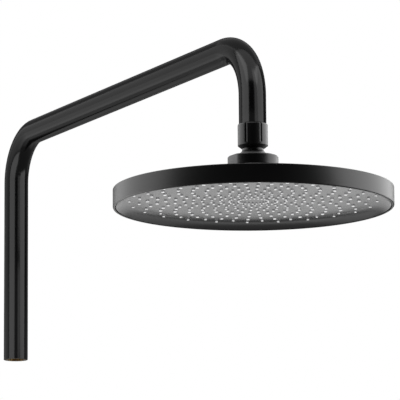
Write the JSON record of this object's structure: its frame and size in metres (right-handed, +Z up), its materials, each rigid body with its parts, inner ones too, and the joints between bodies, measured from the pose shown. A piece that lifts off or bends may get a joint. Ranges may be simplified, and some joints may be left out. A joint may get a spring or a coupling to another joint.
{
  "type": "rainfall shower column",
  "caption": "Upper section of an exposed shower column: bent riser and arm in one tube, swivel nut, ball joint and a round rain head with soft nozzles.",
  "frame": {"origin": "centre of the riser's lower end", "axes": "+Z up along the riser, the arm reaches along -Y, +X to the side; the column is symmetric about the YZ plane"},
  "size_m": [0.254, 0.6495, 0.2475],
  "materials": {
    "tube_black": "satin black powder coat",
    "satin_black": "smooth satin black",
    "shell_black": "satin black moulded plastic",
    "gasket_black": "black moulded gasket",
    "face_grey": "satin dark grey moulded plastic",
    "silicone": "soft translucent grey silicone",
    "inner_plastic": "black moulded plastic",
    "white_plastic": "white moulded plastic",
    "ptfe": "smooth white fluoropolymer",
    "rubber": "matt black rubber",
    "brass": "turned brass",
    "steel": "stainless steel"
  },
  "bodies": {
    "column": {"column_tube": "tube_black", "end_socket": "brass", "socket_o_rings": "rubber", "outlet_nipple": "brass", "strainer": "steel", "inlet_washer": "rubber", "flow_regulator": "white_plastic", "regulator_o_ring": "rubber", "swivel_nut": "satin_black", "snap_ring": "steel", "ball_stem": "satin_black"},
    "lower_seat": {"lower_seat": "ptfe"},
    "upper_seat": {"upper_seat": "ptfe"},
    "head": {"ball_seal": "rubber", "collar": "satin_black", "collar_gasket": "gasket_black", "back_shell": "shell_black", "chamber_plate": "inner_plastic", "chamber_seal": "rubber", "nozzle_mat": "silicone", "face_plate": "face_grey", "face_screws": "steel"}
  },
  "joints": [
    {"name": "tilt_forward", "type": "hinge", "parent": "column", "child": "lower_seat", "pos_m": [0, -0.51, 0.1225], "axis": [1, 0, 0], "range_deg": [-10, 10]},
    {"name": "tilt_sideways", "type": "hinge", "parent": "lower_seat", "child": "upper_seat", "pos_m": [0, -0.51, 0.1225], "axis": [0, 1, 0], "range_deg": [-10, 10]},
    {"name": "head_spin", "type": "hinge", "parent": "upper_seat", "child": "head", "pos_m": [0, -0.51, 0.1225], "axis": [0, 0, 1], "continuous": true}
  ]
}
